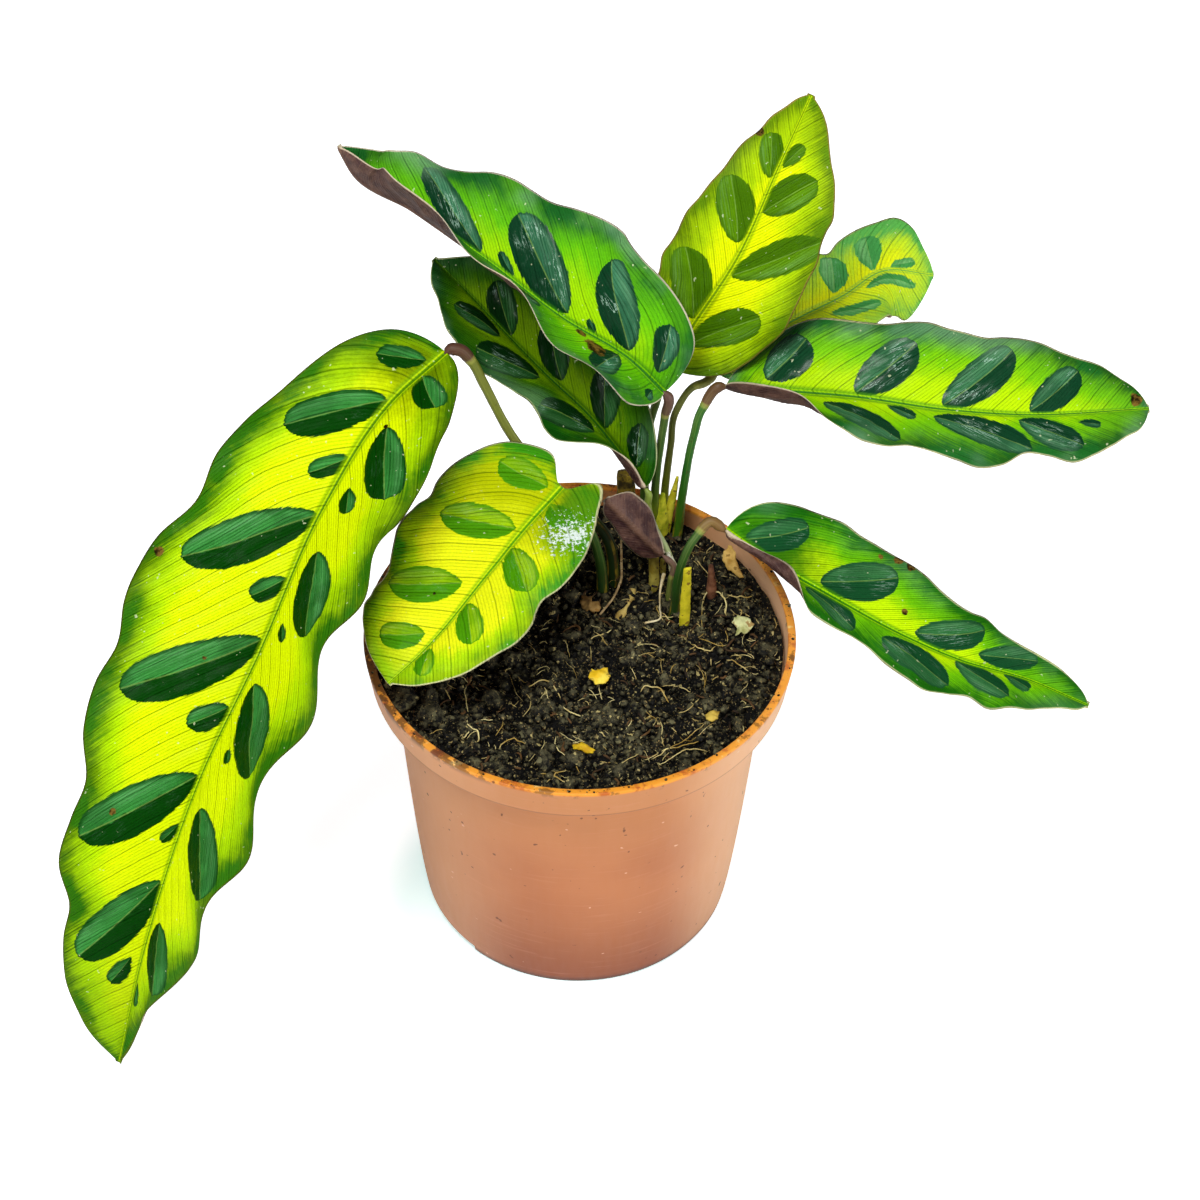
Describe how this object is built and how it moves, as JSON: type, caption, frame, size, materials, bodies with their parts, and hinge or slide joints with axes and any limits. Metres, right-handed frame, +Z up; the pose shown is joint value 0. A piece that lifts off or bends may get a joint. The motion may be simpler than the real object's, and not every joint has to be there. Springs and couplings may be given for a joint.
{
  "type": "potted plant",
  "caption": "Young rattlesnake plant with long waved leaves on thin stalks, in a round moulded nursery pot with a straight collar.",
  "frame": {"origin": "middle of the pot's underside, on the flat it stands on", "axes": "+Z up through the pot's middle; the long hanging leaf points to -X and -Y, and -Y is the side seen in the picture"},
  "size_m": [0.2935, 0.2117, 0.2329],
  "materials": {
    "terracotta_plastic": "matt moulded plastic",
    "peat_soil": "damp crumbly peat",
    "leaf_green": "satin",
    "leaf_purple": "matt",
    "stalk_green": "satin",
    "sheath_yellow": "dry and matt",
    "dry_brown": "dry and matt",
    "dry_straw": "dry and matt"
  },
  "bodies": {
    "root": {"pot": "terracotta_plastic", "soil": "peat_soil", "leaf_1_blade": "leaf_green", "leaf_2_blade": "leaf_green", "leaf_3_blade": "leaf_green", "leaf_4_blade": "leaf_green", "leaf_5_blade": "leaf_green", "leaf_6_blade": "leaf_green", "leaf_7_blade": "leaf_green", "leaf_8_blade": "leaf_green", "leaf_9_blade": "leaf_purple", "leaf_1_stalk": "stalk_green", "leaf_2_stalk": "stalk_green", "leaf_3_stalk": "stalk_green", "leaf_4_stalk": "stalk_green", "leaf_5_stalk": "stalk_green", "leaf_6_stalk": "stalk_green", "leaf_7_stalk": "stalk_green", "leaf_8_stalk": "stalk_green", "leaf_9_stalk": "stalk_green", "yellow_sheath": "sheath_yellow", "leaf_8_sheath": "sheath_yellow", "old_stalk": "stalk_green", "cut_stub_1": "sheath_yellow", "cut_stub_2": "sheath_yellow", "new_shoot": "dry_brown", "dry_rod": "dry_brown", "dry_thread": "dry_straw", "dry_sprout": "dry_straw", "flake_1": "dry_straw", "flake_2": "dry_straw", "flake_3": "dry_straw", "flake_4": "dry_straw", "flake_5": "dry_straw", "flake_6": "dry_straw"}
  },
  "joints": []
}
